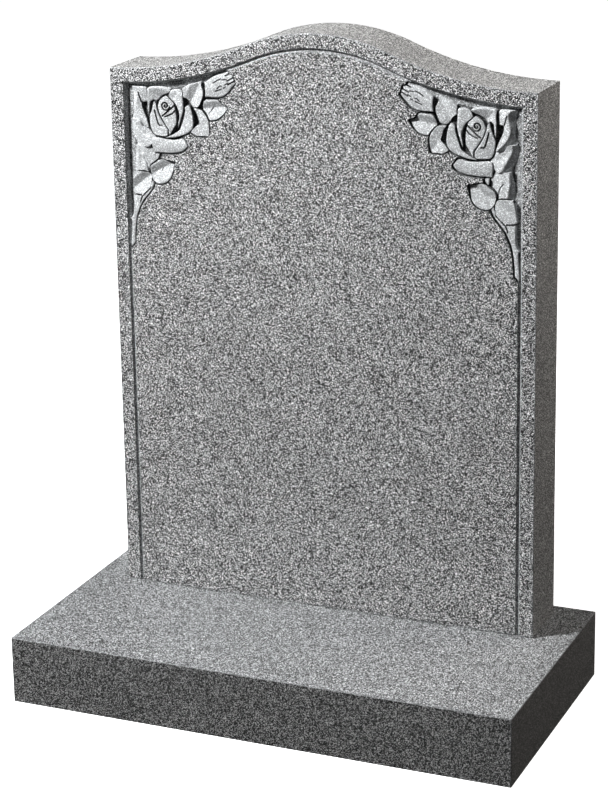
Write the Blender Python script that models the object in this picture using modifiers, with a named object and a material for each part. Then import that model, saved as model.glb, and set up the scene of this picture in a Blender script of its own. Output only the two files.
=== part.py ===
"""Lawn headstone: an ogee-topped granite tablet with a rose spray in each upper corner, on a plinth.

Metres, +Z up. The origin is on the ground under the middle of the plinth, and the carved
face looks along -Y. The tablet is worked out in its own frame first: x across the face,
y into the stone from the face, z up from the tablet's foot.
"""

import math

import bmesh
import bpy
from mathutils import Matrix, Vector
from mathutils.geometry import delaunay_2d_cdt, intersect_point_line

# Tablet
TABLET_WIDTH = 0.520
TABLET_THICKNESS = 0.080
SHOULDER_HEIGHT = 0.635
CROWN_RISE = 0.052
CROWN_RADIUS = 0.225

# Plinth, measured from the tablet that it carries
PLINTH_HEIGHT = 0.080
SIDE_MARGIN = 0.045
FRONT_LEDGE = 0.213
BACK_MARGIN = 0.022
BED_JOINT = 0.0003
PLINTH_WIDTH = TABLET_WIDTH + 2 * SIDE_MARGIN
PLINTH_DEPTH = FRONT_LEDGE + TABLET_THICKNESS + BACK_MARGIN

# Small flats that take the sharpness off the sawn edges
TABLET_ARRIS = 0.0010
PLINTH_ARRIS = 0.0012

# V-cut border line
BORDER_INSET = 0.019
GROOVE_WIDTH = 0.0050
GROOVE_DEPTH = 0.0030

# Carving. The spray is drawn in grid steps from the corner of the border line: the first
# number runs towards the middle of the stone, the second runs up.
SPRAY_STEP = 0.001
SUNK_DEPTH = 0.0070
CUT_LINE_WIDTH = 0.0019
EDGE_BATTER = 0.00035
HIGHEST_CARVING = 0.0004

# How finely the round stretches are divided
SWEEP_STEPS = 10
CROWN_STEPS = 16

# Working allowances: how far the cutters stand out of the stone, the smallest distance that is
# kept between two corners of the carving in grid steps, when points of the outline count as
# one, how straight an edge must run to be left out, and how sharp one must be to be eased
PROUD = 0.002
WELD = 0.12
SAME_POINT = 0.00001
STRAIGHT = math.radians(0.06)
SHARP = math.radians(30)

GREY_GRANITE = (0.33, 0.33, 0.34, 1.0)
DARKER_GRANITE = (0.29, 0.29, 0.30, 1.0)


# Each form of the spray, from the back to the front: its outline, the ridge or rib that
# shapes its surface, the depth of that line below the face, and how much deeper the surface
# lies for each step to the left and to the right of the line. A leaf rises from its rib, so
# it has falls below zero.
FORMS = [
    # Stem
    dict(
        outline=[
            (31.8, -112.5), (33.8, -115.5), (32.8, -119), (30.3, -123.5), (26.3, -128.5), (21.3, -134.2),
            (17.3, -139.5), (14.7, -144.8), (12.5, -150), (10.3, -155.5), (9.3, -160.5), (8.3, -166),
            (7.4, -173), (6.7, -181), (6.4, -188.7), (4, -191.2), (1.6, -194), (1, -190), (1.6, -183),
            (2.4, -175), (3, -166), (2.6, -161.8), (1.3, -160.3), (3.2, -157.8), (5, -154.5), (6, -149),
            (6.4, -140), (6.2, -131), (12, -127), (20, -126), (27, -122), (30, -116),
        ],
        line=[(33, -113), (29, -124), (19, -136), (12, -146), (8, -157), (5.5, -168), (4, -193)],
        depth=1.0, falls=(0.35, 0.05),
    ),
    # Outer low leaf
    dict(
        outline=[
            (10, -103), (14, -102.8), (20, -103), (24, -103.5), (27, -104.5), (29.3, -107), (30.2, -110.5),
            (29.8, -114.5), (28.8, -119), (26.5, -123), (23.5, -126), (20, -128.3), (17, -129.2),
            (13, -128.9), (9, -128.6), (5, -128.6), (5.6, -124), (6, -118), (6.4, -113), (7, -108.8),
            (8.2, -105.2),
        ],
        line=[(28, -106), (23, -110), (18, -113.8), (13, -118), (8, -121.8), (3, -127)],
        depth=4.0, falls=(-0.28, -0.45),
    ),
    # Tucked leaf
    dict(
        outline=[
            (12, -69), (18, -69), (28, -71), (33, -77), (35, -80.5), (35, -84), (35.3, -88.7),
            (31.5, -91.6), (28.2, -95), (26.6, -99), (26, -102.3), (22, -101.3), (17, -101.3),
            (12, -102), (7.2, -103.5), (7.8, -98), (8.6, -90), (9.4, -82), (10.6, -75),
        ],
        line=[(13.5, -67), (14, -80), (13.3, -86), (15, -94), (16.5, -105)],
        depth=0.8, falls=(0.20, 1.0),
    ),
    # Inner low leaf
    dict(
        outline=[
            (29.3, -97), (31, -94.4), (34, -92.2), (37.6, -90), (39.8, -88), (42.5, -87), (46, -86.6),
            (52, -88), (57, -89.2), (60.4, -89.4), (59.2, -94), (58, -100), (56.6, -105), (54.4, -109),
            (51.5, -111.8), (47.5, -114.2), (43, -115.3), (38.5, -115.3), (35.3, -114), (32, -111),
            (30.3, -107), (29.3, -102),
        ],
        line=[(33, -103.5), (38, -100.5), (44, -97.3), (50, -94), (60, -89)],
        depth=4.0, falls=(-0.45, -0.28),
    ),
    # Sepal
    dict(
        outline=[(36.7, -80.4), (40.8, -80.4), (41.3, -83), (39.6, -85.6), (37.2, -87.3), (36.8, -84)],
        line=[(38.5, -79), (38.5, -88)],
        depth=1.0, falls=(0.2, 0.2),
    ),
    # Upper leaf
    dict(
        outline=[
            (74, -1.5), (77, 1), (80.5, 3), (84.5, 4), (90, 5.6), (94, 7), (96.8, 8), (96.2, 5),
            (96.6, 2), (98.4, -2), (99.3, -6), (98.4, -11), (96.3, -15.5), (94.7, -19.6), (92.5, -21.6),
            (89.5, -22.4), (86.8, -22.4), (84.5, -21), (82.5, -18.5), (81, -15.8), (78, -12.6), (75, -10.8),
            (74.5, -6),
        ],
        line=[(82, -20), (84, -14), (88, -8), (90.5, -3), (92, 1), (96, 7.5)],
        depth=4.0, falls=(-0.45, -0.28),
    ),
    # Middle leaf
    dict(
        outline=[
            (98.5, -22.5), (99.6, -17.5), (101.3, -14.5), (104, -12.6), (108, -12.4), (114, -12),
            (118, -12.4), (120.5, -14.3), (122.5, -17.6), (127, -19.6), (130.4, -20.6), (128, -23.5),
            (125.5, -27.3), (122, -31), (118, -33.8), (113, -35.5), (108, -35.8), (105.5, -32),
            (102, -27.5), (99, -25),
        ],
        line=[(97, -23.7), (105, -23), (113, -21.6), (121, -20.5), (131, -20.5)],
        depth=3.8, falls=(-0.45, -0.28),
    ),
    # Side leaf
    dict(
        outline=[
            (87.2, -24.2), (92, -24.4), (97.3, -25.6), (100.6, -29), (103.8, -33), (106, -38.5),
            (106, -46), (104.4, -54.8), (98, -55.3), (91, -55.5), (87, -53.5), (84, -51.2), (88.4, -46),
            (93.6, -41), (92.5, -36), (91, -31), (89.3, -27.3),
        ],
        line=[(88, -25), (95, -40), (104, -54)],
        depth=2.4, falls=(-0.22, -0.20),
    ),
    # Closed bud
    dict(
        outline=[
            (102.3, -9.3), (102.6, -3), (102.5, 3), (102, 6.6), (104.5, 9), (109, 12.2), (114, 15),
            (119, 16.8), (125, 18.6), (129, 20.3), (131.9, 21.2), (132.4, 18.6), (137.6, 17),
            (137, 14.2), (139.2, 12.4), (138.6, 10), (140.4, 8), (138, 5), (134.5, 1), (130.5, -3.3),
            (126, -7.1), (121, -9.2), (115, -9.8), (108, -9.5), (104, -9.6),
        ],
        line=[(102, -1), (119, 5), (139, 12)],
        depth=0.5, falls=(0.15, 0.15),
    ),
    # Outer low petal
    dict(
        outline=[
            (6, -39), (12, -38), (18, -41), (21, -46), (28, -48), (30.4, -52.5), (32.3, -57),
            (36, -59.6), (35, -63), (34, -67), (31, -69.6), (27.8, -72.6), (20, -72.5), (15, -71.8),
            (11.6, -70.6), (9.4, -65.5), (7.2, -60), (5.6, -54), (5, -48.5), (5.2, -43.5),
        ],
        line=[(8, -37), (10.2, -42), (11.2, -48), (14, -55), (17, -62), (21, -69), (24, -75)],
        depth=0.7, falls=(0.22, 1.0),
    ),
    # Outer high petal
    dict(
        outline=[
            (7, -3), (12, -2.6), (20, -2.6), (25.6, -3.8), (27, -9), (27.4, -14), (27.2, -19.2),
            (23.5, -19.8), (20.6, -20.4), (20.8, -26), (22.7, -32), (25.5, -38), (27.4, -43),
            (28.9, -48.8), (24, -50.3), (20, -48.5), (17.5, -43.5), (13, -41.2), (6.2, -40.4), (6.4, -37),
            (8, -34), (9.3, -31), (9, -25), (8.3, -14), (8.5, -9.2), (6.8, -8),
        ],
        line=[(11, -1), (15.5, -8), (15, -15), (13, -22), (13, -29), (15.5, -35), (19, -40), (30, -51)],
        depth=0.6, falls=(0.30, 1.05),
    ),
    # Drooping petal
    dict(
        outline=[
            (33.6, -62), (37.5, -61), (42, -61.2), (50, -62.3), (58, -62.7), (64, -62.2), (70, -60.6),
            (73, -60.7), (75.5, -63.5), (78, -67), (78.3, -69), (75.5, -72.5), (70, -76), (62, -77.9),
            (50, -78.9), (40, -78.9), (34.3, -79), (33.2, -75.5), (32, -70), (32.6, -66),
        ],
        line=[(33, -66), (45, -69), (60, -70), (78, -67.5)],
        depth=0.6, falls=(0.12, 0.22),
    ),
    # Top petal
    dict(
        outline=[
            (28.3, -4.8), (30.5, -2.5), (36, -1.5), (44, -1.2), (50, -1.9), (55, -3), (58.3, -4.4),
            (57, -6.2), (54.5, -7.6), (51.5, -9.2), (47.5, -10.8), (43.5, -13.5), (40.8, -16.5),
            (38.6, -18.3), (36.4, -16.8), (34, -17.6), (31.8, -19.5), (31, -25), (30.2, -31), (29.3, -33.5),
            (28.8, -28), (28.7, -15), (29, -9),
        ],
        line=[(29.3, -33), (29.3, -10), (31, -4.5), (37, -2.5), (48, -2.3), (57, -4.5)],
        depth=0.5, falls=(0.30, 0.42),
    ),
    # Inner wide petal
    dict(
        outline=[
            (79.2, -21), (81.8, -21.2), (83.8, -25), (85.2, -30), (86.2, -36), (86.6, -41), (85.8, -46.3),
            (83.8, -49.6), (80.8, -52.4), (76, -55), (70, -57), (64, -58.9), (58, -59.8), (51.5, -60),
            (57.5, -57.3), (63, -54.2), (68.6, -50.2), (71.4, -44), (73.5, -38.5), (75.3, -33),
            (76.6, -27), (76.5, -23.4),
        ],
        line=[(81, -21), (84.5, -31), (85, -41), (81, -50), (70, -56), (52, -60)],
        depth=0.5, falls=(0.30, 0.08),
    ),
    # Inner close petal
    dict(
        outline=[
            (56.8, -8.5), (59.6, -4.2), (64, -2.8), (70, -2.8), (73.2, -5), (73.6, -11), (74.1, -20),
            (74, -26), (72.6, -32), (70.6, -38), (68.8, -43), (67, -47.5), (67.7, -42), (68.8, -36),
            (68.9, -31), (67.7, -26.5), (64.8, -21), (61, -17), (57.5, -13.8), (55.8, -11.5),
        ],
        line=[(57, -7), (62, -4), (69, -4.5), (71.5, -10), (71.8, -20), (71, -32), (67.5, -46)],
        depth=0.5, falls=(0.30, 0.15),
    ),
    # Rose heart
    dict(
        outline=[
            (42.3, -20.5), (44.5, -16.5), (48, -13.4), (51.5, -11.6), (54.4, -12.6), (57.5, -15.8),
            (61.3, -19.2), (62.8, -24), (64, -30), (64.5, -36), (64.3, -42), (62.8, -46), (60, -50),
            (58, -53.5), (55.4, -57), (54.9, -53), (54.6, -50.3), (51, -45.2), (47.4, -39.5), (44.4, -34.3),
            (42.3, -29), (41.2, -24.7),
        ],
        line=[(50, -14), (51, -24), (54, -40), (55.5, -56)],
        depth=0.5, falls=(0.12, 0.10),
    ),
    # Wrapping petal
    dict(
        outline=[
            (36.6, -18.8), (39, -20.8), (39.8, -25), (41, -29.4), (43, -34.6), (46, -40), (49.6, -45.6),
            (53.3, -51), (53.4, -54), (53.2, -57.2), (50, -58.8), (45, -58.9), (41, -58.6), (37, -58),
            (34, -56), (32.2, -52.5), (30.8, -48), (30.1, -42), (30.4, -37), (31.8, -33), (33.7, -28),
            (35.2, -23),
        ],
        line=[(37.8, -19), (38.8, -25), (41.5, -33), (46, -42), (53, -52), (53.5, -57.5)],
        depth=0.5, falls=(0.10, 0.12),
    ),
]

# The sunk ground between the spray and the border line: its inner side runs hidden under the
# leaves and petals, from the tip of the bud down to the foot of the stem.
GROUND_INNER_SIDE = [
    (131, 17), (122, 4), (112, -19), (97, -44), (86, -50), (78, -52), (66, -56.5), (62, -66), (50, -72),
    (44.4, -79), (44, -87), (45, -95), (40, -108), (33, -114), (31, -120), (27, -126), (19, -135.5),
    (13, -146), (8, -158), (5, -170), (4, -189),
]
GROUND_FOOT = (0, -192)
GROUND_TIP = 131


def clear_scene():
    for old in list(bpy.data.objects):
        bpy.data.objects.remove(old, do_unlink=True)


def new_collection(name):
    collection = bpy.data.collections.new(name)
    bpy.context.scene.collection.children.link(collection)
    return collection


def stone_material(name, colour, roughness):
    material = bpy.data.materials.new(name)
    material.use_nodes = True
    shader = material.node_tree.nodes["Principled BSDF"]
    shader.inputs["Base Color"].default_value = colour
    shader.inputs["Roughness"].default_value = roughness
    shader.inputs["Metallic"].default_value = 0.0
    return material


def mesh_object(name, bm, collection):
    bmesh.ops.recalc_face_normals(bm, faces=bm.faces)
    mesh = bpy.data.meshes.new(name)
    bm.to_mesh(mesh)
    bm.free()
    made = bpy.data.objects.new(name, mesh)
    collection.objects.link(made)
    return made


def hide_cutter(cutter):
    cutter.hide_render = True
    cutter.display_type = "WIRE"


# The ogee is two sweeps that leave the shoulders level and run into one crown arc.
HALF_WIDTH = TABLET_WIDTH / 2
TURN = 2 * math.atan(CROWN_RISE / HALF_WIDTH)
SWEEP_RADIUS = HALF_WIDTH / math.sin(TURN) - CROWN_RADIUS


def ogee_line(inset):
    """The top line moved inwards by inset, from the left side to the right, as (x, z)."""
    sweep = SWEEP_RADIUS + inset
    start = math.asin(inset / sweep)
    left = []
    for step in range(SWEEP_STEPS):
        angle = start + (TURN - start) * step / SWEEP_STEPS
        left.append((
            sweep * math.sin(angle) - HALF_WIDTH,
            SHOULDER_HEIGHT + SWEEP_RADIUS - sweep * math.cos(angle),
        ))
    crown = CROWN_RADIUS - inset
    centre = SHOULDER_HEIGHT + CROWN_RISE - CROWN_RADIUS
    middle = []
    for step in range(CROWN_STEPS + 1):
        angle = TURN * (2 * step / CROWN_STEPS - 1)
        middle.append((crown * math.sin(angle), centre + crown * math.cos(angle)))
    right = [(-x, z) for x, z in reversed(left)]
    return left + middle + right


def border_line(inset, foot):
    """The tablet's outline without its bottom edge, moved inwards by inset."""
    side = HALF_WIDTH - inset
    return [(-side, foot), *ogee_line(inset), (side, foot)]


def outline_slab(name, outline, thickness, collection):
    """A flat outline in x and z, thick from y = 0 into the stone."""
    curve = bpy.data.curves.new(name + "_outline", "CURVE")
    curve.dimensions = "2D"
    curve.fill_mode = "BOTH"
    curve.extrude = thickness / 2
    spline = curve.splines.new("POLY")
    spline.points.add(len(outline) - 1)
    for point, (x, z) in zip(spline.points, outline):
        point.co = (x, z, 0, 1)
    spline.use_cyclic_u = True
    guide = bpy.data.objects.new(name + "_guide", curve)
    collection.objects.link(guide)
    graph = bpy.context.evaluated_depsgraph_get()
    flat = bpy.data.meshes.new_from_object(guide.evaluated_get(graph))
    bpy.data.objects.remove(guide, do_unlink=True)

    bm = bmesh.new()
    bm.from_mesh(flat)
    bpy.data.meshes.remove(flat)
    bmesh.ops.remove_doubles(bm, verts=bm.verts, dist=SAME_POINT)
    bmesh.ops.dissolve_limit(bm, angle_limit=STRAIGHT, verts=bm.verts, edges=bm.edges)
    upright = Matrix.Translation((0, thickness / 2, 0)) @ Matrix.Rotation(math.pi / 2, 4, "X")
    bmesh.ops.transform(bm, matrix=upright, verts=bm.verts)
    return mesh_object(name, bm, collection)


def ease_edges(target, width, underside):
    """A small flat along every sharp edge, around the underside only if that is asked."""
    bm = bmesh.new()
    bm.from_mesh(target.data)
    weight = bm.edges.layers.float.new("bevel_weight_edge")
    lowest = min(vertex.co.z for vertex in bm.verts)
    for edge in bm.edges:
        is_low = all(vertex.co.z < lowest + SAME_POINT for vertex in edge.verts)
        edge[weight] = float(edge.calc_face_angle(0) > SHARP and (underside or not is_low))
    bm.to_mesh(target.data)
    bm.free()
    bevel = target.modifiers.new("arris", "BEVEL")
    bevel.width = width
    bevel.segments = 1
    bevel.limit_method = "WEIGHT"


def groove_cutter(collection):
    """A V section along the border line. It runs out through the tablet's foot."""
    half_at_top = GROOVE_WIDTH / 2 * (1 + PROUD / GROOVE_DEPTH)
    rows = [
        (border_line(BORDER_INSET - half_at_top, -PROUD), -PROUD),
        (border_line(BORDER_INSET, -PROUD), GROOVE_DEPTH),
        (border_line(BORDER_INSET + half_at_top, -PROUD), -PROUD),
    ]
    bm = bmesh.new()
    lines = [[bm.verts.new((x, y, z)) for x, z in line] for line, y in rows]
    for first, second in zip(lines, lines[1:] + lines[:1]):
        for k in range(len(first) - 1):
            bm.faces.new((first[k], first[k + 1], second[k + 1], second[k]))
    for end in (0, -1):
        bm.faces.new([line[end] for line in lines])
    return mesh_object("border_groove_cutter", bm, collection)


def signed_area(loop):
    return sum(a.cross(b) for a, b in zip(loop, loop[1:] + loop[:1])) / 2


def grown(loop, by):
    """The loop moved outwards by a distance, in grid steps."""
    turn = math.copysign(1, signed_area(loop))
    moved = []
    for k, point in enumerate(loop):
        along = (loop[(k + 1) % len(loop)] - loop[k - 1]).normalized()
        moved.append(point + Vector((along.y, -along.x)) * by * turn)
    return moved


def contains(loop, point):
    """Whether the point is inside the loop, by counting crossings to one side."""
    crossings = 0
    for a, b in zip(loop, loop[1:] + loop[:1]):
        if (a.y > point.y) != (b.y > point.y):
            crossings += a.x + (point.y - a.y) / (b.y - a.y) * (b.x - a.x) > point.x
    return crossings % 2 == 1


def offset_from_line(line, point):
    """The distance from an open line, below zero on its right-hand side."""
    nearest, side = math.inf, 1
    for a, b in zip(line, line[1:]):
        foot, share = intersect_point_line(point, a, b)
        foot = a.lerp(b, min(max(share, 0), 1))
        distance = (point - foot).length
        if distance < nearest:
            nearest = distance
            side = math.copysign(1, (b - a).cross(point - a))
    return nearest * side


def inner_run(line, loop):
    """The points of a line that lie inside a loop, with one more between each two corners."""
    dense = []
    for a, b in zip(line, line[1:]):
        dense += [a, (a + b) / 2]
    return [point for point in [*dense, line[-1]] if contains(loop, point)]


def surface_depth(form, point):
    """How deep a form's surface lies at a point, in grid steps below the face."""
    offset = offset_from_line(form["line"], point)
    fall = form["falls"][0 if offset > 0 else 1]
    depth = form["depth"] + abs(offset) * fall
    deepest = SUNK_DEPTH / SPRAY_STEP
    return min(max(depth, HIGHEST_CARVING / SPRAY_STEP), deepest)


def spray_forms():
    """The forms as vectors, each with its outline grown for its wall and for the cut around it."""
    forms = []
    for form in FORMS:
        loop = [Vector(corner) for corner in form["outline"]]
        forms.append(dict(
            loop=loop,
            reach=grown(loop, WELD / 2),
            foot=grown(loop, EDGE_BATTER / SPRAY_STEP),
            cut=grown(loop, CUT_LINE_WIDTH / SPRAY_STEP),
            line=[Vector(point) for point in form["line"]],
            depth=form["depth"],
            falls=form["falls"],
        ))
    return forms


def carving_cutter(side, collection):
    """All the stone that is cut away in one corner: its underside is the spray's relief."""
    line = border_line(BORDER_INSET, 0)
    corner_x, corner_z = line[1]

    def to_grid(x, z):
        return Vector(((x - corner_x) / SPRAY_STEP, (z - corner_z) / SPRAY_STEP))

    panel = [to_grid(x, z) for x, z in line]
    forms = spray_forms()
    along_top = [point for point in panel[1:-1] if point.x < GROUND_TIP]
    inner_side = [Vector(point) for point in GROUND_INNER_SIDE]
    ground = [Vector(GROUND_FOOT), *along_top, *inner_side]

    loops = [panel, ground]
    for form in forms:
        loops += [form["loop"], form["foot"], form["cut"]]
    points, edges = [], []
    for loop in loops:
        first = len(points)
        points += loop
        edges += [(first + k, first + (k + 1) % len(loop)) for k in range(len(loop))]
    for form in forms:
        ridge = inner_run(form["line"], form["loop"])
        edges += [(len(points) + k, len(points) + k + 1) for k in range(len(ridge) - 1)]
        points += ridge

    flat, _, triangles, *_ = delaunay_2d_cdt(points, edges, [], 0, WELD)

    def is_cut(point):
        in_spray = contains(ground, point) or any(contains(form["cut"], point) for form in forms)
        return in_spray and contains(panel, point)

    def depth(point):
        for form in reversed(forms):
            if contains(form["reach"], point):
                return surface_depth(form, point) * SPRAY_STEP
        return SUNK_DEPTH

    bm = bmesh.new()
    relief = [
        bm.verts.new((side * -(corner_x + p.x * SPRAY_STEP), depth(p), corner_z + p.y * SPRAY_STEP))
        for p in flat
    ]
    for corners in triangles:
        middle = sum((flat[k] for k in corners), Vector((0, 0))) / 3
        if is_cut(middle):
            bm.faces.new([relief[k] for k in corners])
    bmesh.ops.delete(bm, geom=[v for v in bm.verts if not v.link_faces], context="VERTS")
    lid = bmesh.ops.extrude_face_region(bm, geom=bm.faces[:], use_keep_orig=True)
    for made in lid["geom"]:
        if isinstance(made, bmesh.types.BMVert):
            made.co.y = -PROUD
    name = "left_spray_cutter" if side < 0 else "right_spray_cutter"
    return mesh_object(name, bm, collection)


def make_tablet(parts, cutters):
    tablet = outline_slab("tablet", border_line(0, 0), TABLET_THICKNESS, parts)
    ease_edges(tablet, TABLET_ARRIS, underside=True)
    tools = [groove_cutter(cutters), carving_cutter(-1, cutters), carving_cutter(1, cutters)]
    place = (0, FRONT_LEDGE - PLINTH_DEPTH / 2, PLINTH_HEIGHT + BED_JOINT)
    for made in [tablet, *tools]:
        made.location = place
    for tool in tools:
        hide_cutter(tool)
        cut = tablet.modifiers.new(tool.name, "BOOLEAN")
        cut.operation = "DIFFERENCE"
        cut.object = tool
    tablet.data.materials.append(stone_material("polished_granite", GREY_GRANITE, 0.35))
    return tablet


def make_plinth(parts):
    bm = bmesh.new()
    bmesh.ops.create_cube(bm, size=1)
    size = Matrix.Diagonal((PLINTH_WIDTH, PLINTH_DEPTH, PLINTH_HEIGHT, 1))
    bmesh.ops.transform(bm, matrix=size, verts=bm.verts)
    plinth = mesh_object("plinth", bm, parts)
    plinth.location = (0, 0, PLINTH_HEIGHT / 2)
    ease_edges(plinth, PLINTH_ARRIS, underside=False)
    plinth.data.materials.append(stone_material("plinth_granite", DARKER_GRANITE, 0.45))
    return plinth


clear_scene()
parts = new_collection("headstone")
cutters = new_collection("cutters")
make_tablet(parts, cutters)
make_plinth(parts)
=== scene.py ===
"""The looks of the headstone: a polished granite tablet with frosted rose sprays, on its plinth.

Both stones are made again here with their fine forms, around the solids of the frame. The
carving is drawn as in the solids, in millimetres from the corner of the border line: the
first number runs towards the middle of the stone, the second runs up.
"""

import math

import bmesh
import bpy
import numpy as np
from mathutils import Euler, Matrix, Vector, kdtree, noise
from mathutils.geometry import delaunay_2d_cdt


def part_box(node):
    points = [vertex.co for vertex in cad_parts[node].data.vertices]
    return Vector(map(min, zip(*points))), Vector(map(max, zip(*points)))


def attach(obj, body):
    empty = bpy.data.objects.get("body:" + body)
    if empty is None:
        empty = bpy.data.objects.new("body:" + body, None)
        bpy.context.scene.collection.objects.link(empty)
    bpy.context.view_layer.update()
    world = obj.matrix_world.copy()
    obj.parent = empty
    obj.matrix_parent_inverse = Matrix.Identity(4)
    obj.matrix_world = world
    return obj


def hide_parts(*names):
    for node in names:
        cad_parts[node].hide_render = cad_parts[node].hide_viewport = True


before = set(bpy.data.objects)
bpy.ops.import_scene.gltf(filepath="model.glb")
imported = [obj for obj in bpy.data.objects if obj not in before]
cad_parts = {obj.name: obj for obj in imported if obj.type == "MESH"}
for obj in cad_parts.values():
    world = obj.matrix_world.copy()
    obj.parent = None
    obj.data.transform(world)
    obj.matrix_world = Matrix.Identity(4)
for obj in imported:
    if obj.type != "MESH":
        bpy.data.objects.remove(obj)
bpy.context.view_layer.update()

MM = 0.001

# Sizes of the stones, from the frame
TABLET_LOW, TABLET_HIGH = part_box("tablet")
PLINTH_LOW, PLINTH_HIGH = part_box("plinth")
HALF_WIDTH = (TABLET_HIGH.x - TABLET_LOW.x) / 2 / MM
THICKNESS = (TABLET_HIGH.y - TABLET_LOW.y) / MM
HEIGHT = (TABLET_HIGH.z - TABLET_LOW.z) / MM

# Sizes that the solids have too, in millimetres
CROWN_RISE = 52
CROWN_RADIUS = 225
ARRIS = 1.0
PLINTH_ARRIS = 1.2
BORDER_INSET = 19
GROOVE_HALF_WIDTH = 2.5
GROOVE_DEPTH = 3.0
SUNK_DEPTH = 7.0
HIGHEST_CARVING = 0.4

# How the edges of the carving are cut. The sunk ground within OPEN_GROUND of the border line, where
# it is open, has a finish darker than the forms' as painted shade; in the cuts and between the forms
# it is rough and painted darker still as shade.
WALL_BATTER = 0.35
CUT_DEPTH = 4.5
CUT_FLOOR_EDGE = 1.3
CUT_WIDTH = 1.9
HAND_WOBBLE = 0.12
WOBBLE_LENGTH = 6.0
OPEN_GROUND = 9.0

# Margins for telling apart what lies at a line
CUT_MARGIN = 0.1
LEAST_DEPTH = 0.02
PANEL_MARGIN = 0.05
ARRIS_MARGIN = 0.01
MIDDLE_MARGIN = 0.001
CREASE_MARGIN = 0.02

# How finely the surfaces are divided
SWEEP_STEPS = 36
CROWN_STEPS = 28
SPANS_PER_POINT = 4
MESH_SPACING = 0.9
NEAREST_TO_LINE = 0.42
WELD = 0.04
ARRIS_STEPS = 3
CREASE_SPACING = 1.0
ROLL_SHARES = (-1, -0.4, 0)
WALL_FOOT_REACH = 200
SMOOTH_ANGLE = math.radians(40)

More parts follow.
